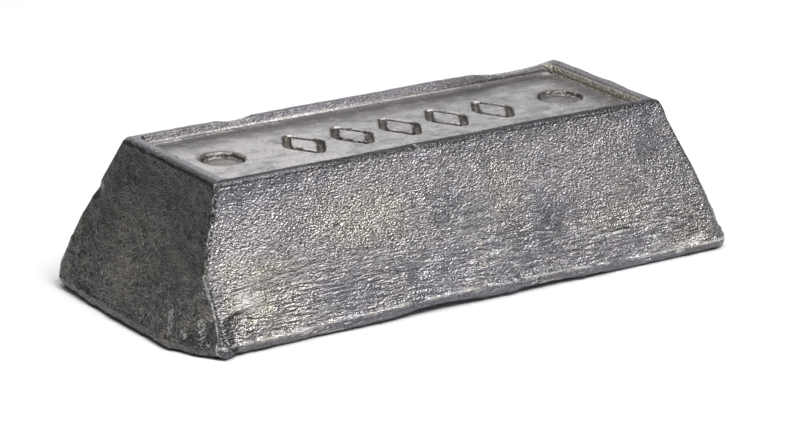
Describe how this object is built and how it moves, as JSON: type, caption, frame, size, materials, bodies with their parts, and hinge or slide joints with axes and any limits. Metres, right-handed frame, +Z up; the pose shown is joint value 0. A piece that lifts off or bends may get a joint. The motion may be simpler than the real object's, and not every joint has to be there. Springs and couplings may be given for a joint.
{
  "type": "lead ingot",
  "caption": "Tapered cast lead bar with a sunk rectangular panel and round sunk marks in its top, lying on its wider pour face.",
  "frame": {"origin": "middle of the pour face, which the bar lies on", "axes": "+X along the bar, +Y across it towards the rim with the dips, +Z up from the pour face to the rim"},
  "size_m": [0.2376, 0.1054, 0.0573],
  "materials": {
    "lead": "satin"
  },
  "bodies": {
    "root": {"ingot": "lead"}
  },
  "joints": []
}
